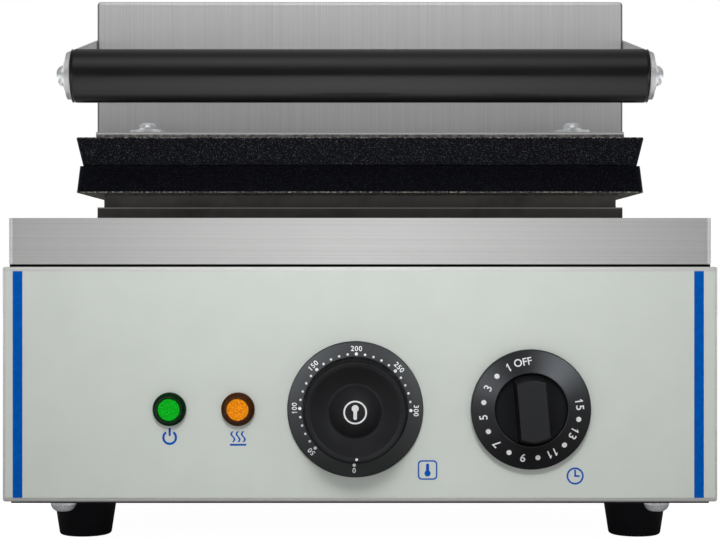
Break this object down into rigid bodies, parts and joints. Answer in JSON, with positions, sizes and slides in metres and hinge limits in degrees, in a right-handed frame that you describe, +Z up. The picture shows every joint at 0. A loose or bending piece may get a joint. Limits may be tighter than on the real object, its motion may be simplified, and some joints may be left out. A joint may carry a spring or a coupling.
{
  "type": "waffle cone maker",
  "caption": "Electric bench waffle cone baker: hinged upper plate with a cross handle over a fixed lower plate, drip tray and a case with dials, pilot lights and feet.",
  "frame": {"origin": "on the floor, under the middle of the case", "axes": "+X to the right seen from the front, +Y to the rear, +Z up"},
  "size_m": [0.335, 0.3369, 0.2666],
  "materials": {
    "stainless_case": "fine brushed",
    "stainless_tray": "brushed along its length",
    "stainless_cover": "brushed upright",
    "overlay_film": "satin printed film",
    "tinted_steel": "heat darkened",
    "nonstick": "speckled non-stick coating on cast aluminium",
    "zinc": "zinc plated",
    "hinge_steel": "ground steel",
    "heater_steel": "oxidised",
    "insulation": "fibre board",
    "gasket": "woven heat-proof strip",
    "foot_rubber": "moulded",
    "grip_plastic": "satin phenolic",
    "knob_plastic": "satin phenolic",
    "green_lens": "clear coloured",
    "amber_lens": "clear coloured",
    "control_plastic": "moulded",
    "control_steel": "plated",
    "copper": "drawn",
    "gland_plastic": "moulded"
  },
  "bodies": {
    "base": {"base_shell": "stainless_case", "front_panel": "overlay_film", "rear_panel": "stainless_case", "rear_panel_screws": "zinc", "bottom_plate": "stainless_case", "bottom_screws": "zinc", "foot_screws": "zinc", "drip_tray": "stainless_tray", "plate_support": "tinted_steel", "support_screws": "zinc", "lower_heater_pan": "tinted_steel", "lower_insulation": "insulation", "lower_retainer": "heater_steel", "lower_heater": "heater_steel", "lower_plate": "nonstick", "lower_plate_screws": "zinc", "thermostat_body": "control_steel", "thermostat_capillary": "copper", "thermostat_bezel": "knob_plastic", "timer_body": "control_plastic", "control_nuts": "zinc", "power_light": "green_lens", "heat_light": "amber_lens", "light_bodies": "control_plastic", "light_nuts": "control_plastic", "terminal_block": "control_plastic", "mains_gland": "gland_plastic", "mains_gland_cap": "gland_plastic", "mains_gland_nut": "gland_plastic", "hinge_bracket_screws": "zinc", "hinge_pin": "hinge_steel", "hinge_clips": "hinge_steel", "foot_front_left": "foot_rubber", "foot_rear_left": "foot_rubber", "foot_front_right": "foot_rubber", "foot_rear_right": "foot_rubber", "hinge_bracket_left": "hinge_steel", "hinge_bracket_right": "hinge_steel"},
    "lid": {"upper_plate": "nonstick", "upper_heater": "heater_steel", "upper_retainer": "heater_steel", "upper_retainer_screws": "zinc", "upper_insulation": "insulation", "cover_gasket": "gasket", "upper_cover": "stainless_cover", "cover_washers": "zinc", "cover_screws": "zinc", "handle_strap_left": "stainless_cover", "handle_strap_right": "stainless_cover", "handle_strap_screws": "zinc", "handle_grip": "grip_plastic", "handle_core": "hinge_steel", "handle_washers": "zinc", "handle_screws": "zinc", "hinge_ear_left": "hinge_steel", "hinge_ear_right": "hinge_steel"},
    "thermostat_dial": {"thermostat_knob": "knob_plastic", "thermostat_shaft": "hinge_steel"},
    "timer_dial": {"timer_knob": "knob_plastic", "timer_shaft": "hinge_steel"}
  },
  "joints": [
    {"name": "lid_hinge", "type": "hinge", "parent": "base", "child": "lid", "pos_m": [0, 0.112, 0.1862], "axis": [-1, 0, 0], "range_deg": [0, 100]},
    {"name": "thermostat_turn", "type": "hinge", "parent": "base", "child": "thermostat_dial", "pos_m": [-0.0022, -0.1505, 0.0643], "axis": [0, 1, 0], "range_deg": [0, 270]},
    {"name": "timer_turn", "type": "hinge", "parent": "base", "child": "timer_dial", "pos_m": [0.0797, -0.1505, 0.0643], "axis": [0, 1, 0], "range_deg": [0, 266]}
  ]
}
